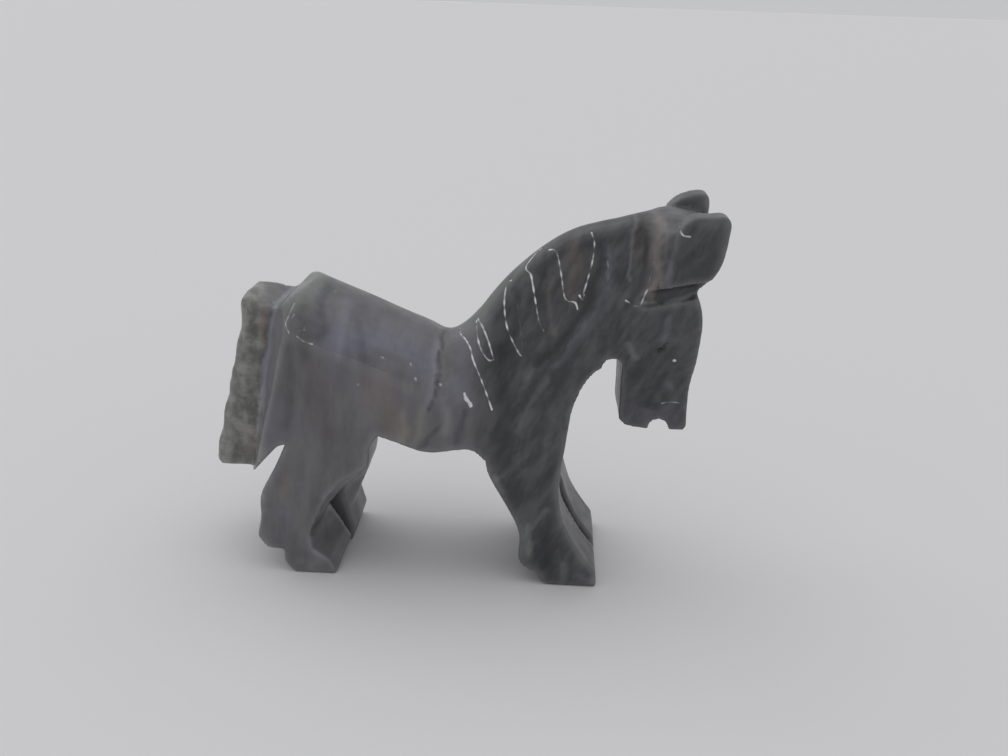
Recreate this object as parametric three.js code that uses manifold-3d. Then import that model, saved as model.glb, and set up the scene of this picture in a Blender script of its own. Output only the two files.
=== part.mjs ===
// A small horse carved from one slab of grey veined stone, standing on its four hooves.
// Millimetres, +Z up, head towards +X. The origin is on the ground, under the middle of the horse.
import * as THREE from 'three';
import { mergeVertices } from 'three/addons/utils/BufferGeometryUtils.js';
import Module from 'manifold-3d';

const wasm = await Module();
wasm.setup();

// The slab
const SLAB = 23.4;              // thickness of the stone, flank to flank
const HALF = SLAB / 2;
const ARRIS = 0.5;              // rounding left on the sawn edges

// Tail: a thinner tongue of stone behind the rump, its back edge filed in waves
const tail = {
  half: 7, back: -39.55, lean: 0.213, foot: 16.5, corner: 0.8,
  firstWave: 19.9, pitch: 5.6, ripple: 0.2, swell: 0.22,
  top: [[-34.4, 41.6], [-34.5, 43.0], [-34.1, 44.2], [-33.2, 44.8], [-32.0, 44.6], [-30.8, 44.0], [-29.6, 43.3]],
  softFor: [-6, -0.4, 0.4, 1.2, 2.4, 4.5], softBy: [1.9, 1.5, 0.8, 0.25, 0, 0],
};
const knob = { top: 44.9, half: 8.2, depth: 4.5, front: -29.2 };

// Rump: a peaked croup, and a slanting facet that leads from each flank in to the tail
const croup = [-23.4, 46.7];
const croupFacet = [[-28.2, 43.2], [-26.2, 45.2]];
const chamfer = { z: 30, flank: -28.7, inner: -30.9, flankLean: 0.24, innerLean: 0.173 };

// Back and neck: the ridge runs straight down to the withers and then up the arched crest
const back = { end: [-5.2, 39.4], crown: 9.4 };
const withers = [-2.3, 38.4];
const crest = [[1.6, 41.4], [6.2, 47.3], [11.6, 52.6], [17.0, 56.0], [23.8, 57.9], [30.0, 59.3], [35, 58.9], [42, 57.4]];
const neck = { ridge: 3.4, round: 2.2, flare: 0.42, from: -3, to: 8 };
const narrow = 0.5;             // half width of the flat left along the very top

// Ears: two forward lobes standing up beside the poll
const ear = {
  inner: 6.6, outer: 10.9, soft: 0.5,
  rear: [[28.6, 48.2], [30.6, 53.5], [31.3, 57.4], [32.2, 59.1], [33.8, 60.3]],
  nearTip: [[36.0, 60.4], [38.0, 60.6], [39.1, 59.6], [39.0, 57.6], [38.4, 53.8]],
  farTip: [[35.8, 60.9], [37.4, 60.9], [38.1, 59.9], [38.1, 57.4], [37.7, 53.7]],
  front: [[37.2, 51.4], [35.3, 49.2]],
};
const earGroove = { r: 1.4, reach: 9.4, rear: [26.5, 47.4], front: [37, 49.7], fade: -0.3 };
const poll = [[36.7, 57.6], [36.4, 54], [35.6, 51]];

// Head: hangs straight down and thins towards the muzzle
const brow = [35.1, 48.7];
const face = [[36.1, 46], [36.35, 42.6], [36.0, 37.2], [35.6, 33]];
const muzzle = { front: 35.8, foot: 25.7, chinBack: 25.1, lip: 0.8 };
const headHalf = { muzzle: 6.3, cheek: 10.3, low: 26.5, high: 46 };
const headBlend = { x: 28.6, z: 48, lean: 0.28, width: 4.5, lowest: 30, fadeFrom: 18, fadeTo: 24 };
const mouth = { front: 33.1, roof: [[32.8, 26.6], [32.3, 27.2], [31.4, 27.4], [30.5, 27.2], [30.0, 26.7]], rear: 29.7 };
const throat = { x: 23.35, z: 36.4, r: 1.6 };
const chest = [[20.6, 35.8], [18.9, 33.2], [17.6, 29.6], [16.8, 24], [16.2, 18], [16.3, 15.2]];

// Front legs
const nearShin = [[16.8, 12.2], [18.2, 9.1], [20.4, 5.4]];
const farShin = [[17.2, 12.6], [18.4, 9.0], [20.4, 5.5]];
const frontHoof = { toeTop: [22.5, 2.8], sole: [15.0, 23.0], heel: [[13.9, 0.7], [13.3, 2.0], [11.6, 2.8]] };
const frontBack = [[10.3, 4.3], [10.3, 8.5], [8.5, 12.7], [5.2, 18.4], [4.5, 20.6]];

// Belly, from the elbow to the flank
const belly = [[1.6, 22.6], [-4.4, 22.0], [-9.3, 23.4], [-12.3, 24.3]];

// Rear legs: the near and the far one were sawn to different shapes in front
const nearThigh = [[-13.6, 22.2], [-13.7, 19.8], [-14.8, 16.7], [-18.1, 14], [-21.0, 10.9], [-21.9, 8.6]];
const farThigh = [[-14.4, 22.0], [-15.4, 17.4], [-16.3, 13.2], [-16.9, 10.6], [-17.6, 8.6], [-18.8, 6.1]];
const nearLeg = { shin: nearShin, thigh: nearThigh, toeTop: [-18.2, 2.5], toe: -19.2 };
const farLeg = { shin: farShin, thigh: farThigh, toeTop: [-17.8, 2.6], toe: -18.6 };
const rearHoof = { sole: -26.0, heel: [[-27.6, 1.9], [-27.7, 3.8]], step: [[-30.2, 4.1], [-31.9, 6.2]] };
const hockBack = [[-31.2, 9.6], [-31.0, 13.6], [-28.6, 18.4]];
const crotch = [[-26.9, 22.1], [-28.1, 21.8]];
const rumpTip = [-32.9, 16.2];
const tailRoot = -33.6;

// Saw cuts that part each pair of legs
const slot = { near: -2.3, far: 0.5 };
const rearSlot = { from: -33, to: -8, top: 23.5, fall: 0.2 };
const frontSlot = { from: 2, to: 30, top: 18.4, fall: 0 };

// The front of each rear leg is filed at a slant, so that it turns towards the near flank. At each
// height: how far forward the filed face stands at the slot, and at the flank.
const nearFace = {
  slot: slot.near, flank: -HALF,
  heights: [[-1, -19, -19], [0.3, -18.9, -19.1], [2.2, -18.0, -20.0], [4.3, -19.2, -22.9], [6.3, -20.2, -23.2],
    [8.4, -21.1, -22.8], [9.9, -19.5, -22.2], [11.7, -17.5, -21.5], [13.1, -16.5, -20.8], [15.5, -15.0, -18.9],
    [17.5, -14.2, -16.2], [19.2, -13.2, -13.2]],
};
const farFace = {
  slot: slot.far, flank: HALF,
  heights: [[-1, -18.5, -18], [0.3, -18.5, -18], [2.3, -18.2, -17.4], [5.6, -19.3, -17.9], [8.5, -20.2, -17.3],
    [10.6, -19.6, -16.6], [13.2, -17.9, -16.0], [17.4, -15.2, -14.9], [19.2, -14.0, -13.6]],
};

const vec = ([x, z]) => new THREE.Vector2(x, z);
const lerp = THREE.MathUtils.lerp;
const ease = THREE.MathUtils.smoothstep;

// The wavy back edge of the tail at a height z.
function tailWave(z) {
  return Math.cos(2 * Math.PI * (z - tail.firstWave) / tail.pitch);
}
function tailEdge(z) {
  return tail.back + tail.lean * (z - tail.foot) - tail.ripple * tailWave(z);
}

// The ridge of the back and neck, sampled from above the tail to the brow.
const backSlope = (croup[1] - back.end[1]) / (croup[0] - back.end[0]);
const ridge = [
  ...[-44, -34.4, -33, -31, knob.front, knob.front + 0.8, croup[0], -14]
    .map((x) => new THREE.Vector2(x, croup[1] + backSlope * (x - croup[0]))),
  ...new THREE.SplineCurve([back.end, withers, ...crest].map(vec)).getPoints(36),
];

// The side view of the horse, drawn clockwise from the foot of the tail. Along the back and neck it
// stands clear of the ridge, which the carved block supplies.
function sideView(leg) {
  const clear = 1.5;            // how far it stands clear
  const s = new THREE.Shape();
  s.moveTo(tailEdge(tail.foot) + tail.corner, tail.foot);
  const from = tail.foot + tail.corner;
  const to = tail.top[0][1] - 1;
  const steps = Math.round(5 * (to - from) / tail.pitch);
  for (let i = 0; i <= steps; i++) {
    const z = lerp(from, to, i / steps);
    s.lineTo(tailEdge(z), z);
  }
  s.splineThru(tail.top.map(vec));
  s.splineThru(croupFacet.map(vec));
  s.lineTo(...croup);
  s.lineTo(croup[0] + clear, croup[1] + clear);
  s.lineTo(back.end[0], back.end[1] + 2 * clear);
  s.lineTo(withers[0], withers[1] + 2 * clear);
  s.lineTo(crest[2][0] - 4 * clear, crest[2][1] + clear);
  s.lineTo(poll[0][0] - 0.2, crest[5][1] + clear);
  s.splineThru(poll.map(vec).concat(vec(brow)));
  s.splineThru(face.map(vec).concat(new THREE.Vector2(muzzle.front, muzzle.foot + muzzle.lip)));
  s.lineTo(muzzle.front - muzzle.lip / 2, muzzle.foot);
  s.lineTo(mouth.front, muzzle.foot);
  for (const point of mouth.roof) s.lineTo(...point);
  s.lineTo(mouth.rear, muzzle.foot);
  s.lineTo(muzzle.chinBack + muzzle.lip * 1.5, muzzle.foot + muzzle.lip / 2);
  s.lineTo(muzzle.chinBack, muzzle.foot + muzzle.lip * 1.8);
  s.lineTo(throat.x + throat.r, throat.z);
  s.absarc(throat.x, throat.z, throat.r, 0, Math.PI, false);
  s.splineThru(chest.map(vec));
  s.splineThru([...leg.shin, frontHoof.toeTop].map(vec));
  s.lineTo(frontHoof.sole[1], 0);
  s.lineTo(frontHoof.sole[0], 0);
  s.splineThru([...frontHoof.heel, ...frontBack].map(vec));
  s.splineThru(belly.map(vec));
  s.splineThru(leg.thigh.map(vec));
  s.lineTo(...leg.toeTop);
  s.lineTo(leg.toe, 0);
  s.lineTo(rearHoof.sole, 0);
  s.splineThru([...rearHoof.heel, ...rearHoof.step].map(vec));
  s.splineThru([...hockBack, crotch[0]].map(vec));
  s.lineTo(...crotch[1]);
  s.lineTo(...rumpTip);
  s.lineTo(tailRoot, tail.foot);
  s.closePath();
  return s;
}

function solidOf(geometry) {
  geometry.deleteAttribute('normal');
  geometry.deleteAttribute('uv');
  const merged = mergeVertices(geometry, 1e-4);
  return new wasm.Manifold(new wasm.Mesh({
    numProp: 3,
    vertProperties: new Float32Array(merged.attributes.position.array),
    triVerts: new Uint32Array(merged.index.array),
  }));
}

function box(x0, x1, y0, y1, z0, z1) {
  const g = new THREE.BoxGeometry(x1 - x0, y1 - y0, z1 - z0);
  g.translate((x0 + x1) / 2, (y0 + y1) / 2, (z0 + z1) / 2);
  return solidOf(g);
}

// A side view sawn right through the slab.
function sawn(shape) {
  const g = new THREE.ExtrudeGeometry(shape, {
    depth: SLAB - 2 * ARRIS, curveSegments: 3, bevelEnabled: true,
    bevelThickness: ARRIS, bevelSize: ARRIS, bevelOffset: -ARRIS, bevelSegments: 2,
  });
  g.rotateX(Math.PI / 2);
  g.translate(0, HALF - ARRIS, 0);
  return solidOf(g);
}

// How far below the ridge a point of the side view lies, square to the ridge.
const flat = (p) => new THREE.Vector3(p.x, p.y, 0);
const ridgeLines = ridge.slice(1).map((q, i) => new THREE.Line3(flat(ridge[i]), flat(q)));
function depthBelowRidge(x, z) {
  const p = new THREE.Vector3(x, z, 0);
  const nearest = new THREE.Vector3();
  return Math.min(...ridgeLines.map((line) => line.closestPointToPoint(p, true, nearest).distanceTo(p)));
}

// A quarter ellipse: nothing at the ridge, the whole width at the given depth.
const rounding = (depth, whole) => Math.sqrt(1 - (1 - Math.min(depth / whole, 1)) ** 2);

// Half the thickness of the carved body at a point of the side view. Where it is full it stands just
// clear of the flanks, which stay as they were sawn.
function halfThickness(x, z) {
  const full = HALF + 0.3;
  const s = depthBelowRidge(x, z);
  if (x <= knob.front && z > knob.top - knob.depth) return Math.max(knob.half * rounding(knob.top - z, knob.depth), narrow);
  const barrel = full * rounding(s, back.crown);
  const wedge = Math.min(full, neck.ridge * rounding(s, neck.round) + neck.flare * Math.max(s - neck.round, 0));
  const body = lerp(barrel, wedge, ease(x, neck.from, neck.to));
  const head = lerp(headHalf.muzzle, headHalf.cheek, ease(z, headHalf.low, headHalf.high)) * rounding(s, neck.round);
  const edge = headBlend.x + headBlend.lean * (Math.max(z, headBlend.lowest) - headBlend.z);
  const turn = ease(x, edge - headBlend.width, edge) * ease(z, headBlend.fadeFrom, headBlend.fadeTo);
  return Math.max(lerp(body, head, turn), narrow);
}

// A block whose top follows the ridge and whose two flanks follow the carved thickness. Its points lie
// at these depths below the ridge, and the last row under the ground.
const depths = [0, 0.12, 0.4, 0.9, 1.6, 2.6, 3.9, 5.5, 7.4, 9.4, 11.4, 13.4, 15.4, 17.4, 19.4, 21.5, 24, 27, 30, 33.5, 40];
function carvedBlock() {
  const underGround = -3;
  const g = new THREE.BoxGeometry(1, 1, 1, ridge.length - 1, 1, depths.length);
  const p = g.attributes.position;
  for (let i = 0; i < p.count; i++) {
    const top = ridge[Math.round((p.getX(i) + 0.5) * (ridge.length - 1))];
    const row = Math.round((0.5 - p.getZ(i)) * depths.length);
    const from = top.x > knob.front ? top.y : knob.top;
    const z = row < depths.length ? from - depths[row] : underGround;
    p.setXYZ(i, top.x, Math.sign(p.getY(i)) * halfThickness(top.x, z), z);
  }
  return solidOf(g);
}

// What is cut away beside the tail. Its inner wall is the tail's rippled side, soft along the back edge,
// and its front wall is the slanting facet at the end of the flank.
function tailRelief(side) {
  const lines = tail.softFor.length;
  const below = 12;
  const above = 52;
  const beside = HALF + 2;
  const g = new THREE.BoxGeometry(1, 1, 1, lines, 1, 30);
  const p = g.attributes.position;
  for (let i = 0; i < p.count; i++) {
    const z = lerp(below, above, p.getZ(i) + 0.5);
    const outer = p.getY(i) > 0;
    const inner = chamfer.inner + chamfer.innerLean * (z - chamfer.z);
    const flank = chamfer.flank + chamfer.flankLean * (z - chamfer.z);
    const slope = (flank - inner) / (HALF - tail.half);
    const line = Math.round((p.getX(i) + 0.5) * lines);
    const y = outer ? beside : tail.half;
    let x = inner + slope * (y - tail.half);
    let dent = 0;
    if (line < lines) {
      x = tailEdge(z) + tail.softFor[line];
      const across = THREE.MathUtils.clamp((x - tailEdge(z)) / (inner - tailEdge(z)), 0, 1);
      dent = outer ? 0 : tail.softBy[line] + tail.swell * (1 - across) * tailWave(z);
    }
    p.setXYZ(i, x, side * (y - dent), z);
  }
  if (side < 0) {
    const index = g.index.array;
    for (let i = 0; i < index.length; i += 3) [index[i], index[i + 1]] = [index[i + 1], index[i]];
  }
  return solidOf(g);
}

// One ear, a rounded lobe as thick as from its inner to its outer face.
function earLobe(side) {
  const s = new THREE.Shape();
  s.moveTo(...ear.rear[0]);
  const tip = side > 0 ? ear.farTip : ear.nearTip;
  s.splineThru([...ear.rear.slice(1), ...tip, ...ear.front].map(vec));
  s.closePath();
  const g = new THREE.ExtrudeGeometry(s, {
    depth: ear.outer - ear.inner - 2 * ear.soft, curveSegments: 3, bevelEnabled: true,
    bevelThickness: ear.soft, bevelSize: ear.soft, bevelOffset: -ear.soft, bevelSegments: 2,
  });
  g.rotateX(Math.PI / 2);
  g.translate(0, (side > 0 ? ear.outer : -ear.inner) - ear.soft, 0);
  return solidOf(g);
}

// The shallow groove that runs back from the brow under each ear.
function grooveUnderEar(side) {
  const dx = earGroove.front[0] - earGroove.rear[0];
  const dz = earGroove.front[1] - earGroove.rear[1];
  const g = new THREE.CylinderGeometry(earGroove.r, earGroove.r, Math.hypot(dx, dz), 20);
  g.rotateZ(-Math.PI / 2);
  g.rotateZ(-side * Math.atan2(earGroove.fade, dx));
  g.rotateY(-Math.atan2(dz, dx));
  const y = earGroove.reach + earGroove.r + earGroove.fade / 2;
  g.translate((earGroove.rear[0] + earGroove.front[0]) / 2, side * y, (earGroove.rear[1] + earGroove.front[1]) / 2);
  return solidOf(g);
}

// A saw cut up between a pair of legs, its top edge falling away to the rear.
function sawCut(cut) {
  const underGround = -2;
  const s = new THREE.Shape();
  s.moveTo(cut.from, underGround);
  s.lineTo(cut.to, underGround);
  s.lineTo(cut.to, cut.top);
  s.lineTo(cut.from, cut.top - cut.fall * (cut.to - cut.from));
  s.closePath();
  const g = new THREE.ExtrudeGeometry(s, { depth: slot.far - slot.near, bevelEnabled: false });
  g.rotateX(Math.PI / 2);
  g.translate(0, slot.far, 0);
  return solidOf(g);
}

// What is filed away in front of one rear leg, from the slot to past the flank.
function filedFace({ slot: slotY, flank, heights }) {
  const last = heights.length - 1;
  const g = new THREE.BoxGeometry(1, 1, 1, 1, 1, last);
  const p = g.attributes.position;
  const open = -8;              // ahead of the leg, in the gap under the belly
  const over = 1.2;             // how far the file runs past each edge
  const away = Math.sign(flank);
  for (let i = 0; i < p.count; i++) {
    const [z, atSlot, atFlank] = heights[Math.round((p.getZ(i) + 0.5) * last)];
    const y = p.getY(i) * away > 0 ? flank + over * away : slotY - over * away;
    const x = lerp(atSlot, atFlank, (y - slotY) / (flank - slotY));
    p.setXYZ(i, p.getX(i) > 0 ? open : x, y, z);
  }
  return solidOf(g);
}

function carveHorse() {
  const middle = (slot.near + slot.far) / 2;
  const nearHalf = sawn(sideView(nearLeg)).intersect(box(-50, 50, -HALF - 1, middle, -5, 70));
  const farHalf = sawn(sideView(farLeg)).intersect(box(-50, 50, middle, HALF + 1, -5, 70));
  return nearHalf.add(farHalf)
    .intersect(carvedBlock())
    .add(earLobe(1))
    .add(earLobe(-1))
    .subtract(grooveUnderEar(1))
    .subtract(grooveUnderEar(-1))
    .subtract(tailRelief(1))
    .subtract(tailRelief(-1))
    .subtract(sawCut(frontSlot))
    .subtract(sawCut(rearSlot))
    .subtract(filedFace(nearFace))
    .subtract(filedFace(farFace));
}

// The finished solid as a mesh, centred over the origin.
function meshOf(solid, material) {
  const { vertProperties, triVerts } = solid.getMesh();
  const g = new THREE.BufferGeometry();
  g.setAttribute('position', new THREE.BufferAttribute(new Float32Array(vertProperties), 3));
  g.setIndex(new THREE.BufferAttribute(new Uint32Array(triVerts), 1));
  g.computeBoundingBox();
  const middle = g.boundingBox.getCenter(new THREE.Vector3());
  g.translate(-middle.x, -middle.y, -g.boundingBox.min.z);
  g.computeVertexNormals();
  return new THREE.Mesh(g, material);
}

const stone = new THREE.MeshStandardMaterial({ color: 0x56585a, roughness: 0.5, metalness: 0 });
const horse = meshOf(carveHorse(), stone);
horse.name = 'horse';

const model = new THREE.Group();
model.add(horse);
export default model;
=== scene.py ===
# %% [markdown]
# # A small carved stone horse
# The real figure is one slab of soft grey banded stone. The maker sawed the side view of a horse out of
# it, sawed a slot between each pair of legs, filed the back, neck, tail and ears to shape, sanded and
# waxed it, and last scratched a mane, eyes and a mouth with a steel point. The wax darkened the stone, so
# every later scratch shows white.
#
# The solid that is loaded here already has the outline, the slots and the filed facets. This lesson turns
# it into worked stone: softened edges, an uneven hand-rubbed surface, the scratches, and the banding.

# %% Load the solid and keep its box
import math

import bmesh
import bpy
from mathutils import Euler, Matrix, Vector, noise
from mathutils.bvhtree import BVHTree
from mathutils.kdtree import KDTree


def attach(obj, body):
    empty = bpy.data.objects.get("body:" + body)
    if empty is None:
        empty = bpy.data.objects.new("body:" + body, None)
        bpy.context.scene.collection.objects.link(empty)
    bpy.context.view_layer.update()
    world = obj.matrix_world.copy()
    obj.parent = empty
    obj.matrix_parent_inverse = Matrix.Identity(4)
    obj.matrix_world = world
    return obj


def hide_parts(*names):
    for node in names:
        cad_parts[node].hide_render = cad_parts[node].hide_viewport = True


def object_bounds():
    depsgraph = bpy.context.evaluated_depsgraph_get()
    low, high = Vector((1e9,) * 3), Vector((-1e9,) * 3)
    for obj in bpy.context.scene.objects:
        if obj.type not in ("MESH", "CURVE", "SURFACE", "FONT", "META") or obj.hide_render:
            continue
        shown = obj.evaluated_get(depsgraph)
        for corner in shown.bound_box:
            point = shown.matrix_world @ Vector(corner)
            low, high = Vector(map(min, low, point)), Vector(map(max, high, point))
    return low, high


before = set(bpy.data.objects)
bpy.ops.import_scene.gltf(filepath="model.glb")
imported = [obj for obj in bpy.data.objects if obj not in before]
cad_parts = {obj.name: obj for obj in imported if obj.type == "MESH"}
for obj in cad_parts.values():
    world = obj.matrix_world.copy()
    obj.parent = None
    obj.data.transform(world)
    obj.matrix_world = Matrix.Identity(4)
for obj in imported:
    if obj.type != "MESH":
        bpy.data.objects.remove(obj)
solid_low, solid_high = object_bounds()
MM = 0.001
print("solid, mm:", [round(side / MM, 1) for side in solid_high - solid_low])

# %% [markdown]
# ## The camera
# A small thing on a table is photographed from close by, so the lens matters: with a long lens the far
# legs would move up behind the near ones. The camera stands as far away as the eye did, looks down by
# about nineteen degrees, and leans a little, because it was held by hand.

# %% Camera
IMAGE_WIDTH = 1008      # pixels
FOCAL_LENGTH = 1100     # pixels
SENSOR_WIDTH = 36.0     # mm
EYE = Vector((12.52, -168.66, 89.26)) * MM
LOOK_DOWN, LOOK_ASIDE, LEAN = (math.radians(angle) for angle in (19.07, 2.0, 1.94))

camera_data = bpy.data.cameras.new("camera")
camera_data.sensor_width = SENSOR_WIDTH
camera_data.lens = FOCAL_LENGTH / IMAGE_WIDTH * SENSOR_WIDTH
camera_data.clip_start = 10 * MM
camera = bpy.data.objects.new("camera", camera_data)
bpy.context.scene.collection.objects.link(camera)
aim = Euler((math.pi / 2 - LOOK_DOWN, 0, LOOK_ASIDE)).to_matrix() @ Matrix.Rotation(LEAN, 3, "Z")
camera.rotation_mode = "QUATERNION"
camera.rotation_quaternion = aim.to_quaternion()
camera.location = EYE
bpy.context.scene.camera = camera
print("lens, mm:", round(camera_data.lens, 2))

# %% [markdown]
# ## The blank becomes worked stone
# The solid is made of long thin triangles, and no surface can be worked on those. A remesh lays an even net
# of small squares over it. The sharp kind is used, because it keeps the sawn edges where they are; a
# rounding kind would turn stone into soap. The copy is merged first, because the loaded mesh is loose
# triangles.

# %% An even net over the solid
WELD = 0.004 * MM
NET_DEPTH = 8
NET_SCALE = 0.68


def merged_copy(node):
    """A mesh with the shape of a solid, its loose triangles joined."""
    joined = bmesh.new()
    joined.from_mesh(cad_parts[node].data)
    bmesh.ops.remove_doubles(joined, verts=joined.verts, dist=WELD)
    mesh = bpy.data.meshes.new("stone_horse")
    joined.to_mesh(mesh)
    joined.free()
    return mesh


def remeshed(piece):
    """Replaces a piece's mesh by an even net of squares over the same shape."""
    net = piece.modifiers.new("net", "REMESH")
    net.mode = "SHARP"
    net.octree_depth = NET_DEPTH
    net.scale = NET_SCALE
    net.use_remove_disconnected = False
    seen = piece.evaluated_get(bpy.context.evaluated_depsgraph_get())
    mesh = bpy.data.meshes.new_from_object(seen)
    piece.modifiers.clear()
    piece.data = mesh


horse = bpy.data.objects.new("stone_horse", merged_copy("horse"))
bpy.context.scene.collection.objects.link(horse)
remeshed(horse)

stone = bmesh.new()
stone.from_mesh(horse.data)
sides = sorted(edge.calc_length() / MM for edge in stone.edges)
print("net:", len(stone.verts), "points", round(sides[len(sides) // 2], 2), "mm apart")

# %% [markdown]
# ## Sanding
# Sandpaper rounds whatever stands proud and leaves the flats alone, and so does smoothing a net. The first
# passes take the edges down. Then a heavier sanding is tried on the side, only to learn which points would
# have moved most: those are the arrises that hands and cloths reach, and they are kept in an attribute, so
# that the material can paint them paler, partly as rubbed wear and partly as a painted highlight along the
# edges.

# %% Sand the edges
SANDING_PASSES = 2
EDGE_FINDING_PASSES = 5
EDGE_FINDING_MOVE = 0.16 * MM


def sand(passes, strength):
    """Lets every point of the stone slide towards its neighbours."""
    for _ in range(passes):
        bmesh.ops.smooth_vert(
            stone, verts=stone.verts, factor=strength, use_axis_x=True, use_axis_y=True, use_axis_z=True
        )


sand(SANDING_PASSES, 0.45)
# How far each point would sand in; the material paints these edges paler, partly as wear and partly as a painted
# highlight
edge_wear_and_highlight = stone.verts.layers.float.new("edge_wear_and_highlight")
stone.normal_update()
before = [(vertex.co.copy(), vertex.normal.copy()) for vertex in stone.verts]
sand(EDGE_FINDING_PASSES, 0.6)
for vertex, (place, normal) in zip(stone.verts, before):
    moved_in = (place - vertex.co).dot(normal)
    vertex.co = place
    vertex[edge_wear_and_highlight] = min(max(moved_in / EDGE_FINDING_MOVE, 0), 1)
print("worn points:", sum(vertex[edge_wear_and_highlight] > 0.3 for vertex in stone.verts))

# %% [markdown]
# ## An uneven, hand-rubbed surface
# Nothing that was filed by hand is quite flat: a broad, slow waviness shows as soon as light slides over
# it. It could be left to a bump in the material, but then the edges would stay ruler-straight, so the
# points themselves move, by about a tenth of a millimetre. The soles stay flat, because it stands on them,
# and nothing may come out past the slab, so the waves are planed off there.

# %% Slow waves left by the file
WAVES = [(9 * MM, 0.14 * MM), (3.2 * MM, 0.06 * MM), (1.3 * MM, 0.015 * MM)]      # length, height
SOLE = 0.6 * MM
INSIDE = 0.004 * MM


def waviness(point):
    """How far the hand left the surface off its true place."""
    return sum(noise.noise(point / length + Vector((3, 7, 1))) * height for length, height in WAVES)


def kept_in_slab():
    """Puts every point that came out past the slab back on its face, and the soles on the ground."""
    for vertex in stone.verts:
        for axis in range(3):
            low = solid_low[axis] + INSIDE
            high = solid_high[axis] - INSIDE
            vertex.co[axis] = min(max(vertex.co[axis], low), high)


stone.normal_update()
for vertex in stone.verts:
    held = min(max(vertex.co.z / SOLE - 0.5, 0), 1)
    vertex.co += vertex.normal * waviness(vertex.co) * held
kept_in_slab()
stone.normal_update()

# %% [markdown]
# ## Where the tool marks run
# A mark is drawn as it is seen from the side, by a few points joined with a smooth curve, and thrown
# across onto the flank like a line of light from a slide projector. That keeps the list short, and the
# line follows every hollow by itself.

# %% Lines on the flank
STEP = 0.12 * MM
NEAR, FAR = -1, 1
BESIDE = 16 * MM


def smooth_between(before, start, end, after, part):
    """A point on the curve from start to end that heads past its neighbours."""
    return 0.5 * (
        2 * start
        + (end - before) * part
        + (2 * before - 5 * start + 4 * end - after) * part**2
        + (3 * start - before - 3 * end + after) * part**3
    )


def curve_through(points, step=STEP):
    """Close points along a smooth curve through a few given ones."""
    knots = [Vector(point) * MM for point in points]
    knots = [knots[0], *knots, knots[-1]]
    path = []
    for i in range(1, len(knots) - 2):
        count = max(1, round((knots[i + 1] - knots[i]).length / step))
        path += [smooth_between(*knots[i - 1:i + 3], k / count) for k in range(count)]
    return path + [knots[-1]]


surface = BVHTree.FromBMesh(stone)


def onto_flank(points, side):
    """The curve through these side-view points, laid on the near or the far flank."""
    landed = []
    for spot in curve_through(points):
        start = Vector((spot.x, side * BESIDE, spot.y))
        place = surface.ray_cast(start, Vector((0, -side, 0)))[0]
        if place is None:
            place = surface.find_nearest(Vector((spot.x, 0, spot.y)))[0]
        landed.append(place)
    return landed


# %% Tools for working along a line
def every_step(table, side, half_width, depth):
    """One small touch of the point for each step along each line."""
    touches = []
    for points, brightness in table:
        for place in onto_flank(points, side):
            pressure = 0.75 + 0.8 * noise.noise(place / (0.9 * MM))
            touches.append((place, half_width * (0.75 + 0.35 * pressure), depth * pressure, brightness * pressure))
    return touches


def point_finder(places):
    """Finds the points near a place."""
    finder = KDTree(len(places))
    for i, place in enumerate(places):
        finder.insert(place, i)
    finder.balance()
    return finder


def press(touches, layer=None):
    """Sinks the surface under each touch and marks the points in the layer."""
    stone.verts.ensure_lookup_table()
    near = point_finder([vertex.co for vertex in stone.verts])
    stone.normal_update()
    sunk = {}
    for place, half_width, depth, mark in touches:
        for _, i, distance in near.find_range(place, 2 * half_width):
            strength = math.exp(-(distance / half_width) ** 2)
            deepest, brightest = sunk.get(i, (0, 0))
            sunk[i] = (max(deepest, depth * strength), max(brightest, mark * strength))
    for i, (deep, bright) in sunk.items():
        vertex = stone.verts[i]
        vertex.co -= vertex.normal * deep
        if layer is not None:
            vertex[layer] = max(vertex[layer], min(bright, 1))
    return len(sunk)


# %% [markdown]
# ## Hollows left by the round file
# Before the scratches come wider hollows, where a small round file was pushed in: the valleys between the
# strands of the tail, and the crease down the front of the near hind leg. The net is fine enough for them
# as it is.

# %% File the hollows
# side-view points in mm, half width in mm, depth in mm
HOLLOWS = [
    ([(-31.9, 43.0), (-31.9, 40.7), (-32.1, 38.3), (-32.4, 36.6)], 0.6, 0.42),
    ([(-30.2, 42.6), (-30.1, 40.0), (-29.8, 38.4)], 0.4, 0.2),
    ([(-33.9, 35.7), (-33.3, 35.4), (-32.7, 35.6)], 0.9, 0.38),
    ([(-33.6, 28.2), (-32.9, 28.8), (-32.2, 29.6)], 0.9, 0.35),
    ([(-35.4, 22.0), (-35.1, 20.6), (-35.2, 18.2)], 0.7, 0.34),
    ([(-36.4, 25.2), (-35.6, 25.6)], 0.8, 0.25),
    ([(-37.3, 30.6), (-36.4, 31.2)], 0.7, 0.2),
    ([(-34.0, 43.6), (-32.6, 43.2), (-31.0, 43.4), (-29.9, 43.4)], 0.3, 0.15),
    ([(-19.9, 15.5), (-21.4, 13.1), (-22.5, 9.9), (-23.3, 6.3)], 0.8, 0.3),
    ([(-26.9, 25.6), (-27.2, 23.8), (-27.5, 22.4)], 0.5, 0.2),
    ([(27.4, 46.2), (30.8, 46.8), (34.4, 48.3)], 0.4, 0.12),
    ([(-14.4, 24.6), (-12.6, 25.6), (-10.6, 25.2)], 0.9, 0.2),
]
hollows = [
    (place, width * MM, depth * MM, 0)
    for points, width, depth in HOLLOWS
    for side in (NEAR, FAR)
    for place in onto_flank(points, side)
]
print("points filed:", press(hollows))
kept_in_slab()
surface = BVHTree.FromBMesh(stone)

# %% [markdown]
# ## The scratches
# The mane is a row of steep zigzags, made in one go without lifting the point far: it is faint where the
# hand was fast and crumbles white where the hand turned. The far flank gets the same kind of mane, plainer.

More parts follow.
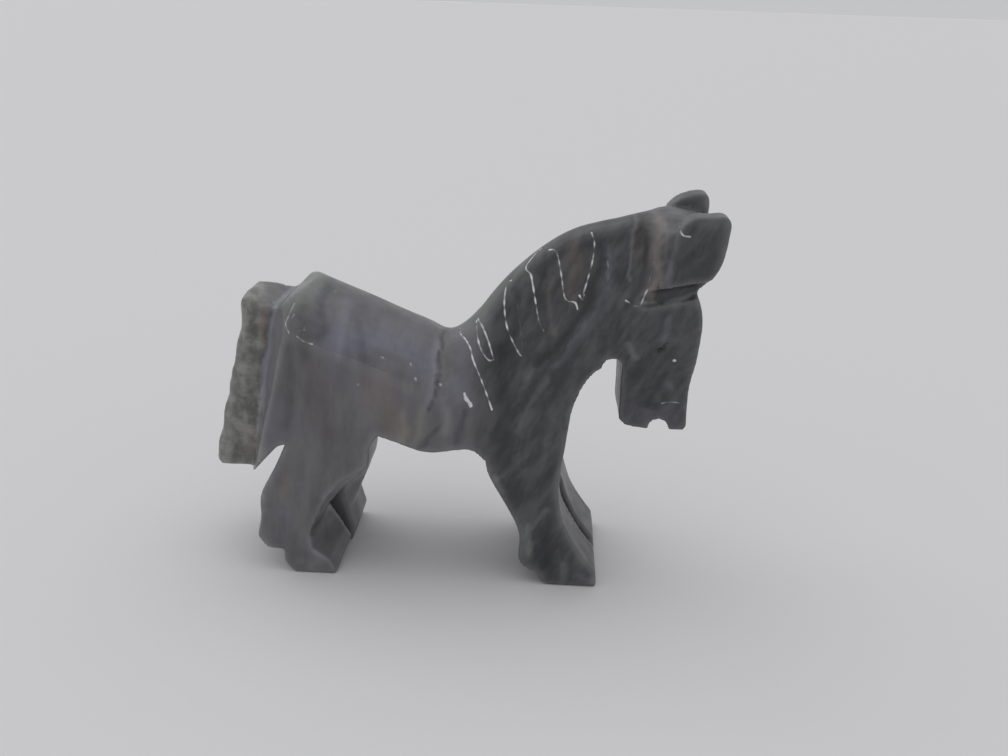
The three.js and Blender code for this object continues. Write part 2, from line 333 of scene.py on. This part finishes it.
# %% The mane, drawn with a steel point
# side-view points in mm, then how bright the line is
MANE = [
    ([(-0.6, 39.3), (-0.3, 39.1), (0.6, 38.8), (1.5, 37.8), (2.0, 36.3), (3.4, 33.2), (5.2, 28.5)], 0.9),
    ([(5.2, 36.0), (4.4, 36.0), (3.4, 37.2), (2.6, 39.0), (2.1, 41.3)], 0.75),
    ([(2.3, 41.6), (3.2, 40.8), (4.2, 38.8), (5.1, 36.2)], 0.75),
    ([(7.3, 47.8), (6.6, 47.1), (6.4, 44.6), (6.8, 41.6), (7.6, 39.5), (8.9, 37.3), (9.4, 36.8)], 0.8),
    ([(8.0, 46.2), (8.9, 42.0), (9.5, 38.3), (9.4, 36.9)], 0.3),
    ([(11.7, 52.6), (10.8, 51.8), (9.5, 50.0), (10.3, 49.1), (10.7, 47.6), (11.3, 44.9)], 1.0),
    ([(11.3, 44.9), (11.9, 42.4), (12.7, 41.0)], 0.6),
    ([(13.0, 52.9), (13.8, 53.0), (14.3, 52.3), (15.0, 49.5), (15.6, 46.5), (16.3, 45.8)], 0.85),
    ([(16.3, 45.8), (17.3, 45.7), (17.7, 44.8)], 1.1),
    ([(19.3, 55.9), (19.8, 54.4), (19.6, 51.8), (18.9, 48.8), (18.4, 47.0)], 0.7),
    ([(18.6, 47.0), (18.4, 46.2), (17.9, 46.8)], 1.3),
    ([(21.6, 52.6), (22.0, 51.4), (22.1, 50.0), (22.0, 49.2)], 0.4),
    ([(25.5, 52.9), (24.7, 50.2), (24.0, 47.4), (24.8, 46.8)], 0.2),
    ([(24.8, 46.8), (26.2, 46.4), (27.0, 46.8), (27.7, 49.0)], 0.65),
    ([(27.7, 49.0), (28.1, 51.2), (28.5, 53.2)], 0.4),
]
FAR_MANE = [
    ([(0.2, 38.8), (1.4, 36.6), (3.2, 33.0)], 0.7),
    ([(4.6, 44.6), (4.2, 41.0), (5.8, 37.4)], 0.7),
    ([(8.6, 48.8), (8.2, 45.0), (10.0, 39.4)], 0.8),
    ([(13.4, 52.4), (13.8, 48.4), (15.2, 44.2)], 0.8),
    ([(18.6, 55.4), (19.0, 51.2), (18.0, 46.4)], 0.7),
    ([(24.4, 56.0), (24.2, 51.6), (25.4, 47.4), (27.0, 47.2)], 0.5),
]

# %% The face
FACE = [
    ([(31.6, 30.2), (32.6, 30.5), (33.6, 30.5), (34.5, 30.4)], 0.45),
    ([(34.5, 30.4), (34.7, 29.7)], 0.4),
    ([(33.6, 29.0), (34.5, 29.1)], 0.4),
]
EYE_GOUGE = [
    ([(30.3, 39.6), (30.6, 39.5)], 0.42, 0.5),
    ([(30.5, 39.8), (30.9, 40.3), (31.3, 40.7)], 0.3, 0.26),
]

# %% Knocks and slips of the point
SLIPS = [
    ([(-25.3, 44.4), (-25.9, 42.7), (-26.2, 41.7), (-25.6, 40.5)], 0.6),
    ([(-25.1, 43.0), (-25.3, 42.6)], 0.5),
    ([(-24.4, 40.0), (-23.4, 39.3), (-22.1, 38.9)], 0.75),
    ([(-22.1, 38.9), (-19.4, 37.9), (-15.0, 36.4), (-11.0, 34.8)], 0.2),
    ([(-24.3, 40.8), (-23.3, 40.9)], 0.4),
    ([(-23.4, 41.6), (-23.5, 40.2)], 0.35),
    ([(31.8, 58.5), (31.8, 58.1), (32.3, 57.6), (33.2, 57.5)], 0.8),
]
CHIPS = [
    ([(1.0, 31.5), (1.2, 30.8), (1.7, 30.1), (2.0, 29.5)], 1.5),
    ([(32.7, 38.0), (32.8, 38.0)], 0.9),
    ([(-15.2, 32.9), (-15.2, 32.7)], 0.5),
    ([(-20.2, 45.1), (-20.0, 45.0)], 0.5),
    ([(-7.4, 36.0), (-7.3, 35.8)], 0.5),
    ([(-6.5, 34.0), (-6.4, 33.8)], 0.45),
    ([(-11.8, 37.0), (-11.5, 36.9)], 0.5),
    ([(-2.7, 33.2), (-2.6, 33.1)], 0.6),
    ([(-2.5, 31.4), (-1.9, 31.5)], 0.35),
]

# %% [markdown]
# ## Cutting them
# A scratch a quarter of a millimetre wide is finer than the net, so the squares under each line are first
# cut into smaller ones. Then every point near a line sinks along its own normal, deepest in the middle.
# The same pass writes how white each point is into an attribute, because bruised stone is pale, and the
# material reads it later.

# %% Cut the lines
HALF_WIDTH = 0.15 * MM
DEPTH = 0.09 * MM
CHIP_HALF_WIDTH = 0.24 * MM
CHIP_DEPTH = 0.16 * MM
REACH = 0.3 * MM


def finer_under(touches, reach, cuts):
    """Cuts the squares near the touches into smaller ones."""
    stone.verts.ensure_lookup_table()
    near = point_finder([vertex.co for vertex in stone.verts])
    found = {near.find(place)[1] for place, *_ in touches}
    found |= {i for place, *_ in touches for _, i, _ in near.find_range(place, reach)}
    faces = {face for i in found for face in stone.verts[i].link_faces}
    edges = {edge for face in faces for edge in face.edges}
    bmesh.ops.subdivide_edges(stone, edges=list(edges), cuts=cuts, use_grid_fill=True)
    return len(faces)


scratches = every_step(MANE + SLIPS + FACE, NEAR, HALF_WIDTH, DEPTH)
scratches += every_step(CHIPS, NEAR, CHIP_HALF_WIDTH, CHIP_DEPTH)
far_scratches = every_step(FAR_MANE + FACE, FAR, HALF_WIDTH, DEPTH)
gouges = [
    (place, width * MM, depth * MM, 0)
    for points, width, depth in EYE_GOUGE
    for side in (NEAR, FAR)
    for place in onto_flank(points, side)
]
print("squares made finer:", finer_under(scratches + gouges, REACH, 3) + finer_under(far_scratches, REACH, 2))
white = stone.verts.layers.float.new("white")
print("points pressed in:", press(scratches + far_scratches, white) + press(gouges))
kept_in_slab()

# %% [markdown]
# ## Beds, veins, stains and painted light
# The stone was laid down in beds, and the slab was cut across them, so a band that shows on one flank comes
# out on the other. The larger ones are drawn as lines in the side view and soak into every point near them,
# whichever flank it is on. Each has a half width, how much paler or darker it makes the stone, how much
# browner or bluer, and how green. Noise bends them, as pressure bent the beds. Some lines are painted light
# instead: painted shade in filed hollows and creases, and painted highlights on lit edges, noted at each table.

# %% The larger bands
# side-view points in mm, half width in mm, tone, warmth, green
# Mostly stone bands, with painted light among them: the pale line at x near -4 is a painted highlight on the round end
# of the barrel, the thin dark one at x near -3.4 is painted shade in the crease where the neck begins, and the first
# row, on the croup top, is green stone made paler by a painted highlight where that facet meets the light.
RUMP_BANDS_AND_PAINTED_LIGHT = [
    ([(-25.5, 45.0), (-22.5, 46.3)], 1.8, 0.2, 0, 0.8),
    ([(-21.4, 45.6), (-21.2, 43.0), (-20.8, 40.4)], 0.8, -0.35, -0.6, 0),
    ([(-23.8, 43.5), (-23.4, 40.5), (-23.2, 36.5)], 0.9, -0.22, 0, 0),
    ([(-18.4, 43.6), (-18.0, 40.5), (-17.6, 37.5)], 0.8, 0.14, -0.6, 0),
    ([(-15.4, 42.6), (-15.2, 39.5), (-14.8, 37.0)], 0.6, -0.2, -0.4, 0),
    ([(-19.0, 39.6), (-13.0, 39.2), (-8.0, 37.6), (-5.4, 35.5)], 1.9, 0.1, -0.9, 0),
    ([(-25.5, 38.0), (-25.6, 31.0), (-26.2, 25.5)], 0.9, -0.25, 0, 0),
    ([(-22.0, 36.0), (-21.5, 30.0), (-20.5, 25.0)], 2.6, -0.16, 0.3, 0),
    ([(-12.0, 33.0), (-11.0, 29.0), (-9.5, 26.0)], 3.0, 0.09, 0.6, 0),
    ([(-4.1, 38.0), (-3.8, 34.5), (-4.4, 30.5)], 0.7, 0.22, -0.4, 0),
    ([(-3.4, 38.4), (-3.0, 35.2), (-3.4, 31.8), (-4.1, 29.3)], 0.32, -0.7, 0, 0),
    ([(-1.8, 38.0), (-1.6, 35.5)], 1.2, -0.25, 0.3, 0),
    ([(-0.6, 35.0), (0.4, 31.5)], 1.5, 0.1, -0.7, 0),
    ([(-5.2, 29.5), (-5.8, 26.5), (-6.4, 23.8)], 0.7, 0.2, 0.2, 0.6),
    ([(-8.6, 28.5), (-8.2, 26.0), (-8.6, 24.0)], 0.6, 0.16, 0.1, 0.5),
    ([(-3.2, 26.2), (-4.4, 24.6), (-5.6, 22.6)], 0.4, -0.45, 0, 0.4),
    ([(-1.6, 29.0), (-1.9, 25.5)], 0.6, 0.16, 0, 0.4),
]
# Partly the tail's green-grey stone, partly painted light: the short dark lines lie in the filed valleys between the
# strands as painted shade, the pale patches along the rear edge are painted highlights on the strands' bumps, the two
# long pale lines down the rump's rear edge are painted highlights on the lit chamfer, and the thin dark line beside
# them is painted shade in the recess at the tail's root. Their browner, bluer and greener shares are the stone's.
TAIL_BANDS_AND_PAINTED_LIGHT = [
    ([(-36.4, 30.2), (-36.2, 28.0)], 1.0, 0.22, 0, 0.3),
    ([(-37.2, 24.0), (-36.8, 21.2)], 0.9, 0.22, 0, 0.3),
    ([(-35.4, 33.6), (-34.6, 32.4)], 1.0, 0.18, 0, 0.2),
    ([(-33.6, 22.5), (-33.6, 18.5)], 0.5, 0.18, 0.5, 0),
    ([(-34.4, 41.8), (-34.2, 38.6)], 0.7, 0.18, 0, 0.2),
    ([(-31.0, 42.4), (-30.8, 38.0)], 0.7, 0.08, 0.9, 0),
    ([(-32.1, 42.4), (-32.2, 38.4)], 0.5, -0.35, 0, 0.3),
    ([(-33.4, 35.6), (-32.8, 35.4)], 0.7, -0.4, 0, 0.2),
    ([(-33.0, 28.6), (-32.2, 29.6)], 0.7, -0.4, 0, 0.2),
    ([(-28.9, 43.0), (-29.7, 37.5), (-30.9, 30.5), (-32.2, 21.5)], 0.6, 0.36, -0.8, 0),
    ([(-27.9, 42.0), (-28.6, 36.5), (-29.4, 31.5)], 0.8, 0.16, 0, 0),
    ([(-29.6, 43.2), (-30.5, 37.5), (-31.7, 30.0), (-33.0, 20.0)], 0.25, -0.4, 0.9, 0),
]
NECK_BANDS = [
    ([(2.6, 41.8), (5.4, 45.8), (9.0, 49.6)], 1.2, 0.1, 0, 0.7),
    ([(9.6, 48.6), (9.8, 44.4)], 0.6, 0.08, 0, 0.3),
    ([(12.0, 53.0), (12.0, 49.5), (11.4, 46.0)], 0.5, -0.5, 0, 0),
    ([(8.0, 46.5), (8.4, 43.0), (8.2, 40.0)], 0.5, -0.35, 0, 0),
    ([(7.2, 39.5), (6.4, 37.0)], 1.0, -0.35, 0, 0),
    ([(13.8, 49.0), (13.6, 44.0), (13.8, 41.0)], 0.45, 0.12, 0.8, 0),
    ([(17.0, 54.0), (17.0, 50.5), (16.6, 47.0)], 1.3, 0.05, 1.0, 0),
    ([(21.0, 53.5), (20.8, 50.5), (19.4, 46.5), (17.4, 43.0), (15.4, 40.0), (12.4, 36.4)], 0.8, -0.7, 0, 0),
    ([(21.9, 53.8), (21.9, 50.0)], 0.5, 0.26, -1.0, 0),
    ([(21.6, 48.5), (19.6, 43.5), (17.0, 39.5), (14.4, 36.4)], 0.7, 0.12, -0.5, 0),
    ([(25.7, 58.4), (25.7, 54.0), (25.0, 49.5)], 0.3, 0.22, 0.2, 0),
    ([(26.9, 57.6), (26.8, 52.5)], 0.6, -0.2, 0.8, 0),
    ([(29.1, 58.8), (29.0, 55.0), (28.9, 51.5), (28.6, 48.2)], 0.8, 0.26, 1.0, 0),
    ([(30.9, 53.6), (30.7, 50.0)], 0.5, 0.16, -0.8, 0),
]
# Mostly stone, with two marks of painted light: the thin pale line under the ear is a painted highlight along the
# ear's raised lower rim (its green share is stone), and the dark dab at the eye is painted shade in the gouge.
HEAD_BANDS_AND_PAINTED_LIGHT = [
    ([(34.8, 52.8), (35.2, 50.6)], 1.6, -0.4, 0, 0),
    ([(36.8, 57.0), (36.4, 54.0)], 1.0, -0.35, 0, 0),
    ([(35.0, 59.2), (37.6, 59.2)], 0.8, 0.12, 0, 0),
    ([(27.2, 46.9), (31.0, 47.5), (33.4, 48.3), (35.3, 49.3)], 0.32, 0.32, 0, 0.3),
    ([(29.4, 49.5), (29.6, 45.5)], 0.7, -0.3, 0, 0),
    ([(31.0, 45.0), (30.8, 41.6)], 0.4, 0.18, -0.4, 0),
    ([(25.6, 40.2), (26.5, 38.2)], 0.4, 0.26, 0, 0),
    ([(32.3, 33.8), (32.9, 33.4)], 0.7, 0.2, -0.3, 0),
    ([(28.6, 30.2), (31.0, 30.0)], 0.6, -0.5, 0, 0),
    ([(26.5, 28.6), (33.5, 28.4)], 1.6, 0.1, -0.6, 0),
    ([(30.4, 39.5), (31.0, 40.4)], 0.45, -0.9, 0, 0),
]
# Mostly stone, with painted shade: the dark line down the hind leg follows the filed crease and is painted shade in
# it.
LEG_BANDS_AND_PAINTED_SHADE = [
    ([(1.2, 28.6), (0.8, 26.4), (0.0, 24.0)], 0.9, -0.5, -0.4, 0),
    ([(6.6, 37.5), (6.6, 32.0), (7.2, 26.0), (7.0, 21.0)], 1.4, -0.5, 0, 0),
    ([(10.2, 33.4), (12.6, 37.0)], 0.5, 0.14, 0, 0),
    ([(9.4, 25.4), (11.4, 30.4), (13.6, 34.0)], 0.6, 0.12, 0, 0),
    ([(13.4, 24.0), (14.8, 29.5)], 0.7, 0.1, 0, 0),
    ([(12.0, 21.0), (12.8, 23.0)], 0.8, -0.3, 0, 0),
    ([(6.2, 18.4), (7.6, 16.2)], 0.5, 0.22, 0, 0.7),
    ([(11.4, 10.0), (11.5, 7.4), (11.4, 5.4)], 0.7, 0.3, 0, 1.0),
    ([(12.6, 9.8), (14.0, 13.2)], 0.4, 0.2, 0, 0.6),
    ([(14.4, 9.0), (14.4, 5.6), (15.2, 3.2)], 1.0, -0.45, 0, 0),
    ([(17.6, 3.8), (17.2, 1.4)], 0.8, 0.16, 0, 0),
    ([(20.6, 6.4), (19.0, 5.0)], 0.8, -0.35, 0, 0),
    ([(20.4, 1.8), (22.4, 1.4)], 0.7, 0.2, -0.6, 0),
    ([(-28.0, 14.0), (-26.5, 16.5)], 1.2, 0.05, 0.6, 0),
    ([(-27.6, 10.6), (-26.8, 10.2)], 0.8, 0.07, -0.8, 0),
    ([(-21.6, 12.8), (-22.6, 9.4), (-23.2, 6.6)], 0.6, -0.35, 0, 0),
    ([(-25.5, 1.9), (-24.6, 2.2)], 0.6, 0.16, 0, 0),
    ([(-23.2, 1.4), (-21.8, 2.0)], 0.6, 0.14, 0, 0),
]

# %% Lay the bands and the painted light on the points
BAND_STEP = 0.3 * MM
BENDS = [(3.2 * MM, 0.7 * MM), (0.9 * MM, 0.3 * MM)]      # length, how far


def bent(point):
    """Where a point of the stone lay in the side view before the beds were bent."""
    place = Vector((point.x, 0, point.z))
    for length, reach in BENDS:
        swirl = noise.noise_vector(point / length) * reach
        place += Vector((swirl.x, 0, 0.6 * swirl.z))
    return place


def paint_bands(bands):
    """Adds each band to the tone, warmth and green of every point near it."""
    stone.verts.ensure_lookup_table()
    near = point_finder([bent(vertex.co) for vertex in stone.verts])
    for points, half_width, *amounts in bands:
        strengths = {}
        for spot in curve_through(points, BAND_STEP):
            place = Vector((spot.x, 0, spot.y))
            for _, i, distance in near.find_range(place, 2.2 * half_width * MM):
                strength = math.exp(-(distance / (half_width * MM)) ** 2)
                strengths[i] = max(strengths.get(i, 0), strength)
        for i, strength in strengths.items():
            for layer, amount in zip(band_layers, amounts):
                stone.verts[i][layer] += amount * strength


band_layers = [stone.verts.layers.float.new(name) for name in ("tone_and_painted_light", "warmth", "green")]
paint_bands(RUMP_BANDS_AND_PAINTED_LIGHT + TAIL_BANDS_AND_PAINTED_LIGHT + NECK_BANDS + HEAD_BANDS_AND_PAINTED_LIGHT + LEG_BANDS_AND_PAINTED_SHADE)

# %% Back to a mesh that takes the solid's place
for face in stone.faces:
    face.smooth = True
bmesh.ops.recalc_face_normals(stone, faces=stone.faces)
stone.to_mesh(horse.data)
stone.free()
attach(horse, "root")
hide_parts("horse")
print("triangles:", sum(len(face.vertices) - 2 for face in horse.data.polygons))

# %% [markdown]
# ## Grey banded stone
# Under the larger bands lies the stone's own grain: upright in the rump, leaning in the shoulder, and
# darker towards the head. The pattern reads the place in the stone, not the surface, so it runs through
# from flank to flank.

# %% Small helpers for a material
def new_material(name):
    """A material and its node tree, with only the shader in it."""
    material = bpy.data.materials.new(name)
    material.use_nodes = True
    return material, material.node_tree


def put(tree, value, socket):
    """Sets a socket, or wires another node's output to it."""
    if isinstance(value, bpy.types.NodeSocket):
        tree.links.new(value, socket)
    else:
        socket.default_value = value


def calc(tree, operation, first, second=0.0):
    """One sum on two values."""
    node = tree.nodes.new("ShaderNodeMath")
    node.operation = operation
    put(tree, first, node.inputs[0])
    put(tree, second, node.inputs[1])
    return node.outputs[0]


def between(tree, value, low, high, out_low=0.0, out_high=1.0):
    """Eases from out_low to out_high as the value goes from low to high."""
    node = tree.nodes.new("ShaderNodeMapRange")
    node.interpolation_type = "SMOOTHSTEP"
    for i, given in enumerate((value, low, high, out_low, out_high)):
        put(tree, given, node.inputs[i])
    return node.outputs[0]


def mixed(tree, share, first, second, way="MIX"):
    """A colour between two, or the first tinted by the second."""
    node = tree.nodes.new("ShaderNodeMix")
    node.data_type = "RGBA"
    node.blend_type = way
    for i, given in ((0, share), (6, first), (7, second)):
        put(tree, given, node.inputs[i])
    return node.outputs[2]


def rgb(red, green, blue):
    return (red, green, blue, 1.0)


# %% Where a point is, in millimetres
material, tree = new_material("banded_stone")
place = tree.nodes.new("ShaderNodeTexCoord").outputs["Object"]
in_mm = tree.nodes.new("ShaderNodeVectorMath")
in_mm.operation = "SCALE"
tree.links.new(place, in_mm.inputs[0])
in_mm.inputs["Scale"].default_value = 1 / MM
spot = in_mm.outputs[0]
split = tree.nodes.new("ShaderNodeSeparateXYZ")
tree.links.new(spot, split.inputs[0])
along = split.outputs["X"]


def mottle(size, detail=3.0, seed=0.0, turn=0.0, stretch=(1, 1, 1)):
    """Cloudy noise, from 0 to 1, in lumps of a size in mm, turned and drawn out."""
    mapping = tree.nodes.new("ShaderNodeMapping")
    mapping.vector_type = "TEXTURE"
    mapping.inputs["Location"].default_value = (seed, seed, seed)
    mapping.inputs["Rotation"].default_value = (0, math.radians(turn), 0)
    mapping.inputs["Scale"].default_value = stretch
    tree.links.new(spot, mapping.inputs[0])
    cloud = tree.nodes.new("ShaderNodeTexNoise")
    tree.links.new(mapping.outputs[0], cloud.inputs["Vector"])
    cloud.inputs["Scale"].default_value = 1 / size
    cloud.inputs["Detail"].default_value = detail
    cloud.inputs["Roughness"].default_value = 0.6
    return cloud.outputs[0]


def attribute(name):
    """What the points of the mesh carry under a name."""
    node = tree.nodes.new("ShaderNodeAttribute")
    node.attribute_name = name
    return node.outputs["Fac"]


# %% The rump and barrel: faint upright bands
wander = calc(tree, "MULTIPLY", calc(tree, "SUBTRACT", mottle(9, 2, 4.0), 0.5), 7.0)
bent_along = calc(tree, "ADD", along, wander)
rump_stone = mixed(
    tree, between(tree, mottle(2.4, 4, 11.0, 3, (1, 2, 3)), 0.3, 0.7), rgb(0.105, 0.104, 0.11), rgb(0.15, 0.149, 0.157)
)
rump_stone = mixed(
    tree, between(tree, mottle(6, 2, 23.0), 0.48, 0.75, 0, 0.7), rump_stone, rgb(0.135, 0.13, 0.158)
)

# %% The shoulder, neck and head: darker, with soft leaning streaks
leaning = mottle(1.9, 4, 5.0, 26, (1, 1.6, 2.8))
front_stone = mixed(
    tree, between(tree, leaning, 0.32, 0.72), rgb(0.033, 0.034, 0.037), rgb(0.085, 0.087, 0.092)
)
forward = between(tree, bent_along, 0.0, 6.5)
colour = mixed(tree, forward, rump_stone, front_stone)

# %% The tail: mottled green-grey
tail_stone = mixed(
    tree, between(tree, mottle(2.2, 4, 31.0), 0.35, 0.65), rgb(0.115, 0.118, 0.108), rgb(0.25, 0.253, 0.235)
)
rearward = between(tree, bent_along, -29.5, -32.5)
colour = mixed(tree, rearward, colour, tail_stone)

# %% The bands that soaked in, with the painted highlights and painted shade among them
tone_and_painted_light = attribute("tone_and_painted_light")
warmth = attribute("warmth")
# Tone above zero paints paler and below zero darker: the stone's bands, together with the painted highlights and
# painted shade from the tables.
colour = mixed(tree, calc(tree, "MAXIMUM", tone_and_painted_light), colour, rgb(0.36, 0.36, 0.375))
colour = mixed(tree, calc(tree, "MAXIMUM", calc(tree, "MULTIPLY", tone_and_painted_light, -1)), colour, rgb(0.012, 0.012, 0.014))
colour = mixed(tree, calc(tree, "MAXIMUM", warmth), colour, rgb(1.16, 0.98, 0.87), "MULTIPLY")
colour = mixed(
    tree, calc(tree, "MAXIMUM", calc(tree, "MULTIPLY", warmth, -1)), colour, rgb(0.97, 0.96, 1.16), "MULTIPLY"
)
colour = mixed(tree, attribute("green"), colour, rgb(0.97, 1.06, 0.9), "MULTIPLY")

# %% Paler on the arrises, partly rubbed wear and partly a painted highlight, and white where the point bruised it
pale_edge_share = attribute("edge_wear_and_highlight")
# Painted highlight along the edges, partly real rubbed wear: the arrises are mixed towards pale grey
colour = mixed(tree, calc(tree, "MULTIPLY", pale_edge_share, 0.22), colour, rgb(0.42, 0.42, 0.44))
bruised = between(tree, attribute("white"), 0.12, 0.85)
colour = mixed(tree, bruised, colour, rgb(0.8, 0.8, 0.82))

# %% Polish
shader = tree.nodes["Principled BSDF"]
tree.links.new(colour, shader.inputs["Base Color"])
put(tree, between(tree, mottle(4, 4, 41.0), 0.3, 0.7, 0.3, 0.42), shader.inputs["Roughness"])
bump = tree.nodes.new("ShaderNodeBump")
bump.inputs["Strength"].default_value = 0.2
bump.inputs["Distance"].default_value = 0.04 * MM
tree.links.new(mottle(0.5, 5, 53.0), bump.inputs["Height"])
tree.links.new(bump.outputs[0], shader.inputs["Normal"])
horse.data.materials.clear()
horse.data.materials.append(material)

# %% [markdown]
# ## Floor and light
# The horse stands on a plain pale floor that runs on to the horizon. The room is bright all round, as an
# indoor room with white walls is, and two broad suns stand for its windows: one straight above, which makes
# the soft dark pool under the belly, and a weaker one behind on the left.

# %% Floor
FLOOR_SIDE = 40.0
ground = bmesh.new()
bmesh.ops.create_grid(ground, x_segments=1, y_segments=1, size=FLOOR_SIDE / 2)
floor_mesh = bpy.data.meshes.new("floor")
ground.to_mesh(floor_mesh)
ground.free()
floor = bpy.data.objects.new("floor", floor_mesh)
bpy.context.scene.collection.objects.link(floor)
pale, pale_tree = new_material("pale_floor")
paint = pale_tree.nodes["Principled BSDF"]
paint.inputs["Base Color"].default_value = rgb(0.74, 0.735, 0.745)
paint.inputs["Roughness"].default_value = 0.8
floor_mesh.materials.append(pale)

# %% Light
def soft_sun(name, toward, strength, softness):
    """A broad light from far away, shining from a direction towards the horse."""
    light = bpy.data.lights.new(name, "SUN")
    light.energy = strength
    light.angle = math.radians(softness)
    lamp = bpy.data.objects.new(name, light)
    lamp.rotation_mode = "QUATERNION"
    lamp.rotation_quaternion = Vector(toward).to_track_quat("Z", "Y")
    bpy.context.scene.collection.objects.link(lamp)


soft_sun("ceiling", (0.05, 0.1, 1.0), 0.5, 70)
soft_sun("window_left", (-0.8, 0.6, 0.9), 0.35, 60)
world = bpy.data.worlds.new("room")
world.use_nodes = True
world.node_tree.nodes["Background"].inputs["Color"].default_value = rgb(0.98, 0.985, 1.0)
world.node_tree.nodes["Background"].inputs["Strength"].default_value = 0.56
bpy.context.scene.world = world
bpy.context.scene.view_settings.view_transform = "Standard"
